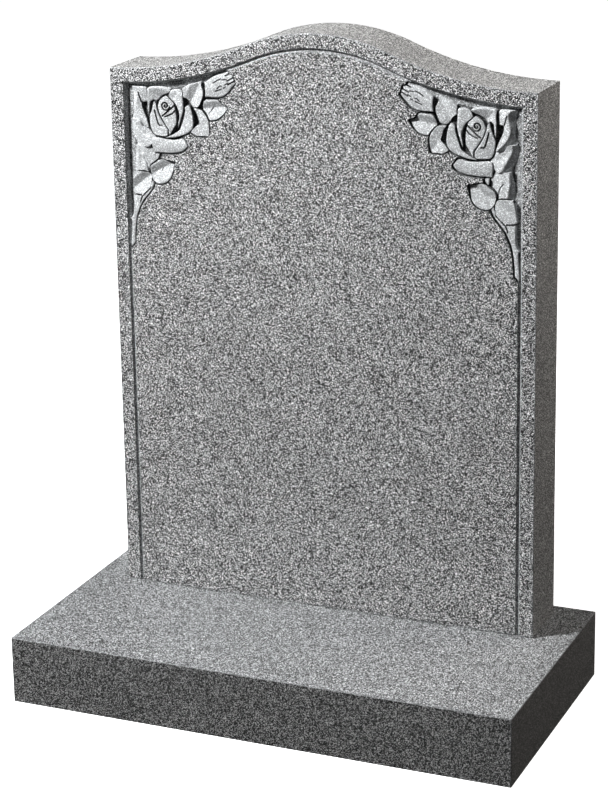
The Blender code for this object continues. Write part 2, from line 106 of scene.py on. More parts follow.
# The forms of the spray from the back to the front, as in the solids: outline, ridge or rib,
# depth of that line, fall to its left and right, how softly the line turns, and the radius of
# the rounded edge.
FORMS = [
    dict(
        name="stem",
        outline=[
            (31.8, -112.5), (33.8, -115.5), (32.8, -119), (30.3, -123.5), (26.3, -128.5), (21.3, -134.2),
            (17.3, -139.5), (14.7, -144.8), (12.5, -150), (10.3, -155.5), (9.3, -160.5), (8.3, -166),
            (7.4, -173), (6.7, -181), (6.4, -188.7), (4, -191.2), (1.6, -194), (1, -190), (1.6, -183),
            (2.4, -175), (3, -166), (2.6, -161.8), (1.3, -160.3), (3.2, -157.8), (5, -154.5), (6, -149),
            (6.4, -140), (6.2, -131), (12, -127), (20, -126), (27, -122), (30, -116),
        ],
        line=[(33, -113), (29, -124), (19, -136), (12, -146), (8, -157), (5.5, -168), (4, -193)],
        depth=1.0, falls=(0.35, 0.05), soft=1.5, roll=0.8,
    ),
    dict(
        name="outer low leaf",
        outline=[
            (10, -103), (14, -102.8), (20, -103), (24, -103.5), (27, -104.5), (29.3, -107), (30.2, -110.5),
            (29.8, -114.5), (28.8, -119), (26.5, -123), (23.5, -126), (20, -128.3), (17, -129.2),
            (13, -128.9), (9, -128.6), (5, -128.6), (5.6, -124), (6, -118), (6.4, -113), (7, -108.8),
            (8.2, -105.2),
        ],
        line=[(28, -106), (23, -110), (18, -113.8), (13, -118), (8, -121.8), (3, -127)],
        depth=4.0, falls=(-0.28, -0.45), soft=0.4, roll=0.5,
    ),
    dict(
        name="tucked leaf",
        outline=[
            (12, -69), (18, -69), (28, -71), (33, -77), (35, -80.5), (35, -84), (35.3, -88.7),
            (31.5, -91.6), (28.2, -95), (26.6, -99), (26, -102.3), (22, -101.3), (17, -101.3),
            (12, -102), (7.2, -103.5), (7.8, -98), (8.6, -90), (9.4, -82), (10.6, -75),
        ],
        line=[(13.5, -67), (14, -80), (13.3, -86), (15, -94), (16.5, -105)],
        depth=0.8, falls=(0.20, 1.0), soft=0.8, roll=0.6,
    ),
    dict(
        name="inner low leaf",
        outline=[
            (29.3, -97), (31, -94.4), (34, -92.2), (37.6, -90), (39.8, -88), (42.5, -87), (46, -86.6),
            (52, -88), (57, -89.2), (60.4, -89.4), (59.2, -94), (58, -100), (56.6, -105), (54.4, -109),
            (51.5, -111.8), (47.5, -114.2), (43, -115.3), (38.5, -115.3), (35.3, -114), (32, -111),
            (30.3, -107), (29.3, -102),
        ],
        line=[(33, -103.5), (38, -100.5), (44, -97.3), (50, -94), (60, -89)],
        depth=4.0, falls=(-0.45, -0.28), soft=0.4, roll=0.5,
    ),
    dict(
        name="sepal",
        outline=[(36.7, -80.4), (40.8, -80.4), (41.3, -83), (39.6, -85.6), (37.2, -87.3), (36.8, -84)],
        line=[(38.5, -79), (38.5, -88)],
        depth=1.0, falls=(0.2, 0.2), soft=0.5, roll=0.5,
    ),
    dict(
        name="upper leaf",
        outline=[
            (74, -1.5), (77, 1), (80.5, 3), (84.5, 4), (90, 5.6), (94, 7), (96.8, 8), (96.2, 5),
            (96.6, 2), (98.4, -2), (99.3, -6), (98.4, -11), (96.3, -15.5), (94.7, -19.6), (92.5, -21.6),
            (89.5, -22.4), (86.8, -22.4), (84.5, -21), (82.5, -18.5), (81, -15.8), (78, -12.6), (75, -10.8),
            (74.5, -6),
        ],
        line=[(82, -20), (84, -14), (88, -8), (90.5, -3), (92, 1), (96, 7.5)],
        depth=4.0, falls=(-0.45, -0.28), soft=0.4, roll=0.5,
    ),
    dict(
        name="middle leaf",
        outline=[
            (98.5, -22.5), (99.6, -17.5), (101.3, -14.5), (104, -12.6), (108, -12.4), (114, -12),
            (118, -12.4), (120.5, -14.3), (122.5, -17.6), (127, -19.6), (130.4, -20.6), (128, -23.5),
            (125.5, -27.3), (122, -31), (118, -33.8), (113, -35.5), (108, -35.8), (105.5, -32),
            (102, -27.5), (99, -25),
        ],
        line=[(97, -23.7), (105, -23), (113, -21.6), (121, -20.5), (131, -20.5)],
        depth=3.8, falls=(-0.45, -0.28), soft=0.4, roll=0.5,
    ),
    dict(
        name="side leaf",
        outline=[
            (87.2, -24.2), (92, -24.4), (97.3, -25.6), (100.6, -29), (103.8, -33), (106, -38.5),
            (106, -46), (104.4, -54.8), (98, -55.3), (91, -55.5), (87, -53.5), (84, -51.2), (88.4, -46),
            (93.6, -41), (92.5, -36), (91, -31), (89.3, -27.3),
        ],
        line=[(88, -25), (95, -40), (104, -54)],
        depth=2.4, falls=(-0.22, -0.20), soft=0.5, roll=0.5,
    ),
    dict(
        name="closed bud",
        outline=[
            (102.3, -9.3), (102.6, -3), (102.5, 3), (102, 6.6), (104.5, 9), (109, 12.2), (114, 15),
            (119, 16.8), (125, 18.6), (129, 20.3), (131.9, 21.2), (132.4, 18.6), (137.6, 17),
            (137, 14.2), (139.2, 12.4), (138.6, 10), (140.4, 8), (138, 5), (134.5, 1), (130.5, -3.3),
            (126, -7.1), (121, -9.2), (115, -9.8), (108, -9.5), (104, -9.6),
        ],
        line=[(102, -1), (119, 5), (139, 12)],
        depth=0.5, falls=(0.15, 0.15), soft=3.0, roll=1.2,
    ),
    dict(
        name="outer low petal",
        outline=[
            (6, -39), (12, -38), (18, -41), (21, -46), (28, -48), (30.4, -52.5), (32.3, -57),
            (36, -59.6), (35, -63), (34, -67), (31, -69.6), (27.8, -72.6), (20, -72.5), (15, -71.8),
            (11.6, -70.6), (9.4, -65.5), (7.2, -60), (5.6, -54), (5, -48.5), (5.2, -43.5),
        ],
        line=[(8, -37), (10.2, -42), (11.2, -48), (14, -55), (17, -62), (21, -69), (24, -75)],
        depth=0.7, falls=(0.22, 1.0), soft=0.8, roll=0.6,
    ),
    dict(
        name="outer high petal",
        outline=[
            (7, -3), (12, -2.6), (20, -2.6), (25.6, -3.8), (27, -9), (27.4, -14), (27.2, -19.2),
            (23.5, -19.8), (20.6, -20.4), (20.8, -26), (22.7, -32), (25.5, -38), (27.4, -43),
            (28.9, -48.8), (24, -50.3), (20, -48.5), (17.5, -43.5), (13, -41.2), (6.2, -40.4), (6.4, -37),
            (8, -34), (9.3, -31), (9, -25), (8.3, -14), (8.5, -9.2), (6.8, -8),
        ],
        line=[(11, -1), (15.5, -8), (15, -15), (13, -22), (13, -29), (15.5, -35), (19, -40), (30, -51)],
        depth=0.6, falls=(0.30, 1.05), soft=0.8, roll=0.6,
    ),
    dict(
        name="drooping petal",
        outline=[
            (33.6, -62), (37.5, -61), (42, -61.2), (50, -62.3), (58, -62.7), (64, -62.2), (70, -60.6),
            (73, -60.7), (75.5, -63.5), (78, -67), (78.3, -69), (75.5, -72.5), (70, -76), (62, -77.9),
            (50, -78.9), (40, -78.9), (34.3, -79), (33.2, -75.5), (32, -70), (32.6, -66),
        ],
        line=[(33, -66), (45, -69), (60, -70), (78, -67.5)],
        depth=0.6, falls=(0.12, 0.22), soft=3.0, roll=1.2,
    ),
    dict(
        name="top petal",
        outline=[
            (28.3, -4.8), (30.5, -2.5), (36, -1.5), (44, -1.2), (50, -1.9), (55, -3), (58.3, -4.4),
            (57, -6.2), (54.5, -7.6), (51.5, -9.2), (47.5, -10.8), (43.5, -13.5), (40.8, -16.5),
            (38.6, -18.3), (36.4, -16.8), (34, -17.6), (31.8, -19.5), (31, -25), (30.2, -31), (29.3, -33.5),
            (28.8, -28), (28.7, -15), (29, -9),
        ],
        line=[(29.3, -33), (29.3, -10), (31, -4.5), (37, -2.5), (48, -2.3), (57, -4.5)],
        depth=0.5, falls=(0.30, 0.42), soft=1.0, roll=0.6,
    ),
    dict(
        name="inner wide petal",
        outline=[
            (79.2, -21), (81.8, -21.2), (83.8, -25), (85.2, -30), (86.2, -36), (86.6, -41), (85.8, -46.3),
            (83.8, -49.6), (80.8, -52.4), (76, -55), (70, -57), (64, -58.9), (58, -59.8), (51.5, -60),
            (57.5, -57.3), (63, -54.2), (68.6, -50.2), (71.4, -44), (73.5, -38.5), (75.3, -33),
            (76.6, -27), (76.5, -23.4),
        ],
        line=[(81, -21), (84.5, -31), (85, -41), (81, -50), (70, -56), (52, -60)],
        depth=0.5, falls=(0.30, 0.08), soft=1.5, roll=0.8,
    ),
    dict(
        name="inner close petal",
        outline=[
            (56.8, -8.5), (59.6, -4.2), (64, -2.8), (70, -2.8), (73.2, -5), (73.6, -11), (74.1, -20),
            (74, -26), (72.6, -32), (70.6, -38), (68.8, -43), (67, -47.5), (67.7, -42), (68.8, -36),
            (68.9, -31), (67.7, -26.5), (64.8, -21), (61, -17), (57.5, -13.8), (55.8, -11.5),
        ],
        line=[(57, -7), (62, -4), (69, -4.5), (71.5, -10), (71.8, -20), (71, -32), (67.5, -46)],
        depth=0.5, falls=(0.30, 0.15), soft=1.0, roll=0.7,
    ),
    dict(
        name="rose heart",
        outline=[
            (42.3, -20.5), (44.5, -16.5), (48, -13.4), (51.5, -11.6), (54.4, -12.6), (57.5, -15.8),
            (61.3, -19.2), (62.8, -24), (64, -30), (64.5, -36), (64.3, -42), (62.8, -46), (60, -50),
            (58, -53.5), (55.4, -57), (54.9, -53), (54.6, -50.3), (51, -45.2), (47.4, -39.5), (44.4, -34.3),
            (42.3, -29), (41.2, -24.7),
        ],
        line=[(50, -14), (51, -24), (54, -40), (55.5, -56)],
        depth=0.5, falls=(0.12, 0.10), soft=3.0, roll=1.0,
    ),
    dict(
        name="wrapping petal",
        outline=[
            (36.6, -18.8), (39, -20.8), (39.8, -25), (41, -29.4), (43, -34.6), (46, -40), (49.6, -45.6),
            (53.3, -51), (53.4, -54), (53.2, -57.2), (50, -58.8), (45, -58.9), (41, -58.6), (37, -58),
            (34, -56), (32.2, -52.5), (30.8, -48), (30.1, -42), (30.4, -37), (31.8, -33), (33.7, -28),
            (35.2, -23),
        ],
        line=[(37.8, -19), (38.8, -25), (41.5, -33), (46, -42), (53, -52), (53.5, -57.5)],
        depth=0.5, falls=(0.10, 0.12), soft=1.5, roll=0.8,
    ),
]

# Cuts in the surface of a form: its line, half its width and its depth. Where half its width is
# under NARROW_CREASE it has a flat floor, as a share of its width; the others are V-shaped
# hollows.
NARROW_CREASE = 1.2
NARROW_FLOOR = 0.6
HOLLOW_FLOOR = 0.02
CREASES = [
    dict(on="rose heart", line=[(47, -35), (52, -31), (56, -27.4), (62.5, -22)], half_width=1.1, depth=3),
    dict(
        on="rose heart", line=[(50.6, -35.6), (56, -33.4), (60, -31.2), (63, -28)],
        half_width=1.0, depth=3,
    ),
    dict(
        on="wrapping petal", half_width=1.1, depth=3.0,
        line=[(37.4, -29), (38.6, -34.5), (40.2, -40), (41.4, -44), (43, -46), (46, -46)],
    ),
    dict(on="outer high petal", line=[(17, -9.3), (18.3, -14), (19.9, -19.6)], half_width=0.9, depth=2.4),
    dict(
        on="tucked leaf", line=[(21, -86.5), (24, -90), (25.5, -95), (26.5, -101)],
        half_width=1.4, depth=1.6,
    ),
    dict(on="tucked leaf", line=[(16, -72), (18, -86), (17, -98)], half_width=5.0, depth=0.9),
    dict(on="outer low petal", line=[(10, -45), (16, -51), (24, -58)], half_width=6.0, depth=1.4),
    dict(
        on="stem", line=[(29, -121.5), (24, -126), (20, -130), (17.5, -132.5), (16, -136), (15, -139.5)],
        half_width=0.9, depth=4.0,
    ),
    dict(on="stem", line=[(4, -130.4), (10, -130.4), (15.5, -130.8)], half_width=1.1, depth=4.0),
    dict(on="closed bud", line=[(113.4, 7.4), (117, 10), (122.4, 12.6)], half_width=0.8, depth=2.2),
    dict(on="closed bud", line=[(125, 11.7), (130, 12.5)], half_width=0.7, depth=1.2),
    dict(on="closed bud", line=[(118, 1.4), (121.5, 4.4), (123.4, 4.6)], half_width=0.8, depth=2.0),
    dict(on="closed bud", line=[(115.5, -2), (119.4, -0.8), (123, 0.9)], half_width=0.8, depth=2.0),
    dict(on="closed bud", line=[(126, 2.4), (128.8, 3.6)], half_width=0.7, depth=1.6),
    dict(on="closed bud", line=[(128, 6), (131, 8)], half_width=0.7, depth=1.4),
    dict(on="closed bud", line=[(131.5, 6.5), (138.6, 10.4)], half_width=0.9, depth=3.0),
    dict(on="closed bud", line=[(131, 11), (137, 14)], half_width=0.9, depth=2.6),
    dict(on="closed bud", line=[(128.6, 16.8), (132.4, 18.4)], half_width=0.9, depth=3.0),
]

# The curled petals in the heart of the rose: a crease that winds outwards
SPIRAL_CENTRE = (51.3, -22.5)
SPIRAL_RADII = (0.6, 5.8)
SPIRAL_TURNS = (0.35, 1.95)
SPIRAL_STEPS = 36
SPIRAL_HALF_WIDTH = 1.1
SPIRAL_DEPTH = 3.0

# The sunk ground: it follows the border line from its foot, through the corner, to its tip
# behind the closed bud, and its inner side runs back behind the forms
GROUND_INNER_SIDE = [
    (131, 17), (122, 4), (112, -19), (97, -44), (86, -50), (78, -52), (66, -56.5), (62, -66), (50, -72),
    (44.4, -79), (44, -87), (45, -95), (40, -108), (33, -114), (31, -120), (27, -126), (19, -135.5),
    (13, -146), (8, -158), (5, -170), (4, -189),
]
GROUND_FOOT = (0, -192)
GROUND_TIP = 131

# The photo's viewing angle: the camera's place and turn in the frame, and its lens
CAMERA_PLACE = (1.0465, -2.4212, 1.2091)
CAMERA_TURN = (74.257, 0.9236, 23.0225)
CAMERA_LENS = 108.346
CAMERA_SENSOR = 36
CAMERA_SHIFT_Y = -0.12

# Light
KEY_PLACE = (-1.18, -1.05, 2.05)
KEY_SIZE = 0.25
KEY_POWER = 117
KEY_COLOUR = (0.98, 0.99, 1.0)
FILL_PLACE = (1.15, 0.75, 1.35)
FILL_SIZE = 0.8
FILL_POWER = 13.5
FILL_COLOUR = (1.0, 0.96, 0.92)
LIGHT_AIM = (0, 0, 0.4)
AMBIENT = 0.039
SEEN_BACKGROUND = 1.0

# The floor, just under the stones; its glow keeps it as pale as the background
FLOOR_HALF_WIDTH = 8
FLOOR_DROP = 0.0005
FLOOR_SHADE = 0.9
FLOOR_GLOW = 0.95

# The order of the finishes in each stone's list of materials. The plinth has the first four: for
# its front, its top and underside, its ends and back, and its arrises.
# The rough finish is painted dark as shade, and the sunk finish is darker than the forms' as painted shade.
POLISHED, FROSTED, SAWN, EASED, ROUGH_PAINTED_SHADE, SUNK_PAINTED_SHADE = range(6)


# The ogee: two sweeps that leave the shoulders level and run into one crown arc
SHOULDER = HEIGHT - CROWN_RISE
TURN = 2 * math.atan(CROWN_RISE / HALF_WIDTH)
SWEEP_RADIUS = HALF_WIDTH / math.sin(TURN) - CROWN_RADIUS
SWEEP_CENTRE_Z = SHOULDER + SWEEP_RADIUS
CROWN_CENTRE_Z = HEIGHT - CROWN_RADIUS


def half_ogee(inset):
    """The left half of the top line, from the middle of the crown down to the shoulder."""
    crown, sweep = CROWN_RADIUS - inset, SWEEP_RADIUS + inset
    points = []
    for step in range(CROWN_STEPS):
        angle = TURN * step / CROWN_STEPS
        points.append((-crown * math.sin(angle), CROWN_CENTRE_Z + crown * math.cos(angle)))
    start = math.asin(inset / sweep)
    for step in range(SWEEP_STEPS + 1):
        angle = TURN + (start - TURN) * step / SWEEP_STEPS
        points.append((sweep * math.sin(angle) - HALF_WIDTH, SWEEP_CENTRE_Z - sweep * math.cos(angle)))
    return points


def half_outline(inset):
    """The left half of the tablet's outline moved inwards, with the corners of the groove at its foot."""
    groove = BORDER_INSET - HALF_WIDTH
    foot = [inset - HALF_WIDTH, groove - GROOVE_HALF_WIDTH, groove, groove + GROOVE_HALF_WIDTH, 0]
    return half_ogee(inset) + [(x, inset) for x in foot]


def groove_side(inset):
    return half_ogee(inset) + [(inset - HALF_WIDTH, 0)]


def inset_of(points):
    """How far points of the left half lie in from the tablet's sides and top."""
    x, z = points[:, 0], points[:, 1]
    from_sweep = np.hypot(x + HALF_WIDTH, z - SWEEP_CENTRE_Z) - SWEEP_RADIUS
    from_crown = CROWN_RADIUS - np.hypot(x, z - CROWN_CENTRE_Z)
    under_sweep = np.arctan2(x + HALF_WIDTH, SWEEP_CENTRE_Z - z) < TURN
    return np.minimum(x + HALF_WIDTH, np.where(under_sweep, from_sweep, from_crown))


CORNER = np.array(half_ogee(BORDER_INSET)[-1])


def smooth_loop(corners):
    """A closed curve through the corners (Catmull-Rom)."""
    here = np.array(corners, float)
    before, after, beyond = (np.roll(here, shift, 0) for shift in (1, -1, -2))
    spans = []
    for part in range(SPANS_PER_POINT):
        t = part / SPANS_PER_POINT
        bend = (after - before) * t
        bend += (2 * before - 5 * here + 4 * after - beyond) * t**2
        bend += (3 * here - before - 3 * after + beyond) * t**3
        spans.append(here + bend / 2)
    return np.stack(spans, 1).reshape(-1, 2)


def grown(loop, by):
    """The loop moved outwards by a distance."""
    following = np.roll(loop, -1, 0)
    area = (loop[:, 0] * following[:, 1] - loop[:, 1] * following[:, 0]).sum()
    along = following - np.roll(loop, 1, 0)
    along /= np.linalg.norm(along, axis=1)[:, None]
    return loop + np.stack([along[:, 1], -along[:, 0]], 1) * by * math.copysign(1, area)


def divided(line, spacing):
    """The line with more points, no further apart than spacing."""
    points = []
    for start, end in zip(line, line[1:]):
        steps = max(1, math.ceil(np.linalg.norm(end - start) / spacing))
        points += [start + (end - start) * step / steps for step in range(steps)]
    return np.array([*points, line[-1]])


def from_line(points, line):
    """Each point's distance to an open line, and 1 on its left or -1 on its right."""
    start, run = line[:-1], line[1:] - line[:-1]
    offset = points[:, None] - start
    share = np.clip((offset * run).sum(2) / (run**2).sum(1), 0, 1)
    away = ((offset - share[..., None] * run) ** 2).sum(2)
    nearest = away.argmin(1)
    rows = np.arange(len(points))
    cross = run[nearest, 0] * offset[rows, nearest, 1] - run[nearest, 1] * offset[rows, nearest, 0]
    return np.sqrt(away[rows, nearest]), np.where(cross >= 0, 1.0, -1.0)


def from_loop(points, loop):
    return from_line(points, np.concatenate([loop, loop[:1]]))[0]


def inside(points, loop):
    """Whether each point is inside the loop, by counting crossings to one side."""
    start, end = loop, np.roll(loop, -1, 0)
    rise = end[:, 1] - start[:, 1]
    rise = np.where(rise == 0, 1e-9, rise)
    x, y = points[:, :1], points[:, 1:]
    straddles = (start[:, 1] > y) != (end[:, 1] > y)
    crossing = start[:, 0] + (y - start[:, 1]) / rise * (end[:, 0] - start[:, 0])
    return (straddles & (crossing > x)).sum(1) % 2 == 1


def spray_forms():
    """The forms with their curves worked out."""
    forms = [dict(form, loop=smooth_loop(form["outline"])) for form in FORMS]
    for form in forms:
        form["line"] = np.array(form["line"], float)
        form["reach"] = grown(form["loop"], WELD)
    return forms


def spiral():
    """The curled petals in the heart of the rose."""
    points = []
    for step in range(SPIRAL_STEPS + 1):
        share = step / SPIRAL_STEPS
        angle = 2 * math.pi * (SPIRAL_TURNS[0] + (SPIRAL_TURNS[1] - SPIRAL_TURNS[0]) * share)
        radius = SPIRAL_RADII[0] + (SPIRAL_RADII[1] - SPIRAL_RADII[0]) * share
        points.append((
            SPIRAL_CENTRE[0] + radius * math.cos(angle),
            SPIRAL_CENTRE[1] + radius * math.sin(angle),
        ))
    return points


def all_creases():
    coil = dict(on="rose heart", line=spiral(), half_width=SPIRAL_HALF_WIDTH, depth=SPIRAL_DEPTH)
    creases = []
    for crease in [coil, *CREASES]:
        floor = NARROW_FLOOR if crease["half_width"] < NARROW_CREASE else HOLLOW_FLOOR
        creases.append(dict(crease, line=np.array(crease["line"], float), floor=floor))
    return creases


def softened(offset, soft):
    """The part of an offset above zero, with a round start instead of a corner."""
    return (np.sqrt(offset**2 + soft**2) + offset - soft) / 2


def surface_depth(form, points):
    """How deep a form's surface lies, with its rounded ridge and rounded edge."""
    distance, side = from_line(points, form["line"])
    offset = distance * side
    left, right = form["falls"]
    soft = form["soft"]
    depth = form["depth"] + left * softened(offset, soft) + right * softened(-offset, soft)
    depth = np.clip(depth, HIGHEST_CARVING, SUNK_DEPTH)
    roll = form["roll"]
    from_edge = np.minimum(from_loop(points, form["loop"]), roll)
    return depth + roll - np.sqrt(roll**2 - (roll - from_edge) ** 2)


def wobble(points):
    """The slight unevenness of hand work."""
    return np.array([
        HAND_WOBBLE * noise.noise(Vector((x, z, 0)) / WOBBLE_LENGTH) for x, z in points
    ])


def spray_depth(points, forms, creases, ground):
    """The depth of the carving at each point, and whether the point is carved, painted dark as shade in a
    rough cut, on a crease floor or between the forms, or on a form."""
    gap, next_gap = np.sort([from_loop(points, form["loop"]) for form in forms], 0)[:2]
    cuts = [grown(form["loop"], CUT_WIDTH - CUT_MARGIN) for form in forms]
    beside_form = np.any([inside(points, cut) for cut in cuts], 0)
    slope = (CUT_WIDTH - gap) / (CUT_WIDTH - CUT_FLOOR_EDGE)
    depth = np.where(beside_form, CUT_DEPTH * np.clip(slope, 0, 1), 0.0)
    on_ground = inside(points, ground)
    depth = np.where(on_ground, SUNK_DEPTH, depth)
    owner = np.full(len(points), -1)
    in_crease = np.full(len(points), False)
    for k, form in enumerate(forms):
        owned = inside(points, form["reach"])
        owner[owned] = k
        depth[owned] = surface_depth(form, points[owned])
        in_crease[owned] = False
        for crease in creases:
            if crease["on"] == form["name"]:
                near = from_line(points, crease["line"])[0] / crease["half_width"]
                floor = crease["floor"]
                cut = crease["depth"] * np.clip((1 - near) / (1 - floor), 0, 1)
                depth = np.where(owned, depth + cut, depth)
                in_crease |= owned & (near < floor + CREASE_MARGIN) & (floor == NARROW_FLOOR)
    carved = depth > 0
    depth = np.where(carved & (owner >= 0), depth + wobble(points), depth)
    # Ground off the forms that is not open near the border gets the rough finish, painted dark as shade, as
    # do the crease floors.
    near_border = inset_of(points + CORNER) < BORDER_INSET + OPEN_GROUND
    is_open = on_ground & near_border & (next_gap > CUT_WIDTH)
    rough_painted_shade = (owner < 0) & ~is_open
    return np.clip(depth, 0, SUNK_DEPTH), carved, carved & (rough_painted_shade | in_crease), owner >= 0


def border_depth(points):
    """The depth of the V-cut border line and of the rounded arris."""
    inset = inset_of(points)
    groove = GROOVE_DEPTH * (1 - np.abs(inset - BORDER_INSET) / GROOVE_HALF_WIDTH)
    from_edge = np.clip(np.minimum(inset, points[:, 1]), 0, ARRIS)
    arris = ARRIS - np.sqrt(ARRIS**2 - (ARRIS - from_edge) ** 2)
    depth = np.maximum(groove, arris)
    return np.where(depth < LEAST_DEPTH, 0, depth)


def spray_grid(ground, forms, lines):
    """Evenly spread points over the carving, clear of the lines that are in the mesh already."""
    low, high = ground.min(0), ground.max(0)
    for form in forms:
        low, high = np.minimum(low, form["loop"].min(0)), np.maximum(high, form["loop"].max(0))
    row_gap = MESH_SPACING * math.sqrt(3) / 2
    rows = np.arange(low[1] - CUT_WIDTH, high[1] + CUT_WIDTH, row_gap)
    columns = np.arange(low[0] - CUT_WIDTH, high[0] + CUT_WIDTH, MESH_SPACING)
    points = np.array([
        (x + MESH_SPACING / 2 * (k % 2), z) for k, z in enumerate(rows) for x in columns
    ])
    points = points[inset_of(points + CORNER) > BORDER_INSET + WALL_BATTER]
    rough_painted_shade = [inside(points, grown(form["loop"], CUT_WIDTH)) for form in forms]
    points = points[inside(points, ground) | np.any(rough_painted_shade, 0)]
    fine = np.concatenate([divided(line, NEAREST_TO_LINE) for line in lines])
    tree = kdtree.KDTree(len(fine))
    for k, (x, z) in enumerate(fine):
        tree.insert((x, z, 0), k)
    tree.balance()
    return np.array([p for p in points if tree.find((*p, 0))[2] > NEAREST_TO_LINE])


def closed(loop):
    return np.concatenate([loop, loop[:1]])


def offset_line(line, by):
    """An open line moved to its left."""
    along = np.concatenate([line[1:], line[-1:]]) - np.concatenate([line[:1], line[:-1]])
    along /= np.linalg.norm(along, axis=1)[:, None]
    return line + np.stack([-along[:, 1], along[:, 0]], 1) * by


def front_relief():
    """The left half of the tablet's front: points as (x, depth, z), triangles, and which points are painted
    dark as shade in a rough cut and which are on a form."""
    forms, creases = spray_forms(), all_creases()
    top_run = np.array(half_ogee(BORDER_INSET)[::-1]) - CORNER
    top_side = [p for p in top_run if p[0] < GROUND_TIP]
    ground = np.array([GROUND_FOOT, *top_side, *GROUND_INNER_SIDE], float)

    lines = [closed(ground)]
    for form in forms:
        rolls = [share * form["roll"] for share in ROLL_SHARES]
        for by in (*rolls, WALL_BATTER, CUT_FLOOR_EDGE, CUT_WIDTH):
            lines.append(closed(grown(form["loop"], by)))
    for crease in creases:
        route = divided(crease["line"], CREASE_SPACING)
        for by in (-1, -crease["floor"], crease["floor"], 1):
            lines.append(offset_line(route, by * crease["half_width"]))
    wall_foot = np.array(half_ogee(BORDER_INSET + WALL_BATTER)) - CORNER
    lines.append(np.concatenate([wall_foot, [wall_foot[-1] - (0, WALL_FOOT_REACH)]]))
    for inset in (-GROOVE_HALF_WIDTH, 0, GROOVE_HALF_WIDTH):
        lines.append(np.array(groove_side(BORDER_INSET + inset)) - CORNER)
    for step in range(ARRIS_STEPS + 1):
        inset = ARRIS * (1 - math.cos(math.pi / 2 * step / ARRIS_STEPS))
        lines.append(np.array(half_outline(inset)) - CORNER)
    middle = np.array([(0, 0), half_ogee(0)[0]]) - CORNER
    grid = spray_grid(ground, forms, lines)

    points, edges = [], []
    for line in [*lines, middle]:
        first = len(points)
        points += [Vector(p) for p in line]
        edges += [(first + k, first + k + 1) for k in range(len(line) - 1)]
    points += [Vector(p) for p in grid]
    flat, _, triangles, *_ = delaunay_2d_cdt(points, edges, [], 1, WELD)
    flat = np.array(flat)
    local = flat + CORNER
    depth = border_depth(local)
    sunk, carved, rough_painted_shade, on_form = spray_depth(flat, forms, creases, ground)
    in_panel = inset_of(local) > BORDER_INSET + PANEL_MARGIN
    depth = np.where(carved & in_panel, sunk, depth)
    half = np.stack([local[:, 0], depth, local[:, 1]], 1)
    return half, triangles, rough_painted_shade & in_panel, on_form & in_panel


def front_finish(corners, half, rough_painted_shade, on_form):
    """The finish of a triangle of the front, from where its corners lie."""
    depths = half[corners][:, 1]
    from_edge = inset_of(half[corners][:, [0, 2]]).min()
    foot = half[corners][:, 2].min()
    if depths.max() < LEAST_DEPTH:
        return POLISHED
    if min(from_edge, foot) < ARRIS - ARRIS_MARGIN and depths.max() <= ARRIS + ARRIS_MARGIN:
        return EASED
    # Cuts, crease floors and ground between the forms get the rough finish, painted dark as shade.
    if rough_painted_shade[corners].any():
        return ROUGH_PAINTED_SHADE
    # Open sunk ground gets a finish darker than the forms', painted shade for the recess.
    return FROSTED if on_form[corners].any() else SUNK_PAINTED_SHADE


def make_tablet(materials):
    """The front and its mirror image, with the sides, the arris of the back and the back."""
    half, triangles, rough_painted_shade, on_form = front_relief()
    bm = bmesh.new()
    origin = Vector((0, TABLET_LOW.y, TABLET_LOW.z))

    def vertex(x, y, z):
        return bm.verts.new(origin + Vector((x, y, z)) * MM)

    sides = []
    for sign in (1, -1):
        row = []
        for k, (x, y, z) in enumerate(half):
            on_middle = sign < 0 and x > -MIDDLE_MARGIN
            row.append(sides[0][k] if on_middle else vertex(x * sign, y, z))
        sides.append(row)
    for row, turned in zip(sides, (False, True)):
        for corners in triangles:
            a, b, c = (row[k] for k in (corners[::-1] if turned else corners))
            face = bm.faces.new((a, b, c))
            face.material_index = front_finish(list(corners), half, rough_painted_shade, on_form)

    rim = {(round(x, 2), round(z, 2)): k for k, (x, _, z) in enumerate(half)}

    def ring(inset, y):
        left = half_outline(inset)
        right = [(-x, z) for x, z in left[1:-1]][::-1]
        return [vertex(x, y, z) for x, z in left + right]

    left = [rim[(round(x, 2), round(z, 2))] for x, z in half_outline(0)]
    rings = [[sides[0][k] for k in left] + [sides[1][k] for k in left[1:-1]][::-1]]
    kinds = []
    for step in range(ARRIS_STEPS + 1):
        angle = math.pi / 2 * step / ARRIS_STEPS
        rings.append(ring(ARRIS * (1 - math.cos(angle)), THICKNESS - ARRIS * (1 - math.sin(angle))))
        kinds.append(EASED if step else SAWN)
    for first, second, kind in zip(rings, rings[1:], kinds):
        for k in range(len(first)):
            after = (k + 1) % len(first)
            face = bm.faces.new((first[k], second[k], second[after], first[after]))
            face.material_index = kind
    back = bm.faces.new(rings[-1])
    back.material_index = SAWN
    finished("tablet_stone", bm, materials, "tablet")


def make_plinth(materials):
    """A plain slab with an arris on all edges but those of the underside."""
    bm = bmesh.new()
    bmesh.ops.create_cube(bm, size=1)
    size, middle = PLINTH_HIGH - PLINTH_LOW, (PLINTH_HIGH + PLINTH_LOW) / 2
    for v in bm.verts:
        v.co = Vector(c * s for c, s in zip(v.co, size)) + middle
    edges = [e for e in bm.edges if max(v.co.z for v in e.verts) > middle.z]
    for face in bm.faces:
        face.material_index = POLISHED
        if abs(face.normal.z) > 0.5:
            face.material_index = FROSTED
        elif abs(face.normal.x) > 0.5 or face.normal.y > 0.5:
            face.material_index = SAWN
    bmesh.ops.bevel(
        bm, geom=edges, offset=PLINTH_ARRIS * MM, segments=ARRIS_STEPS,
        profile=0.5, affect="EDGES", material=EASED,
    )
    finished("plinth_stone", bm, materials, "plinth")


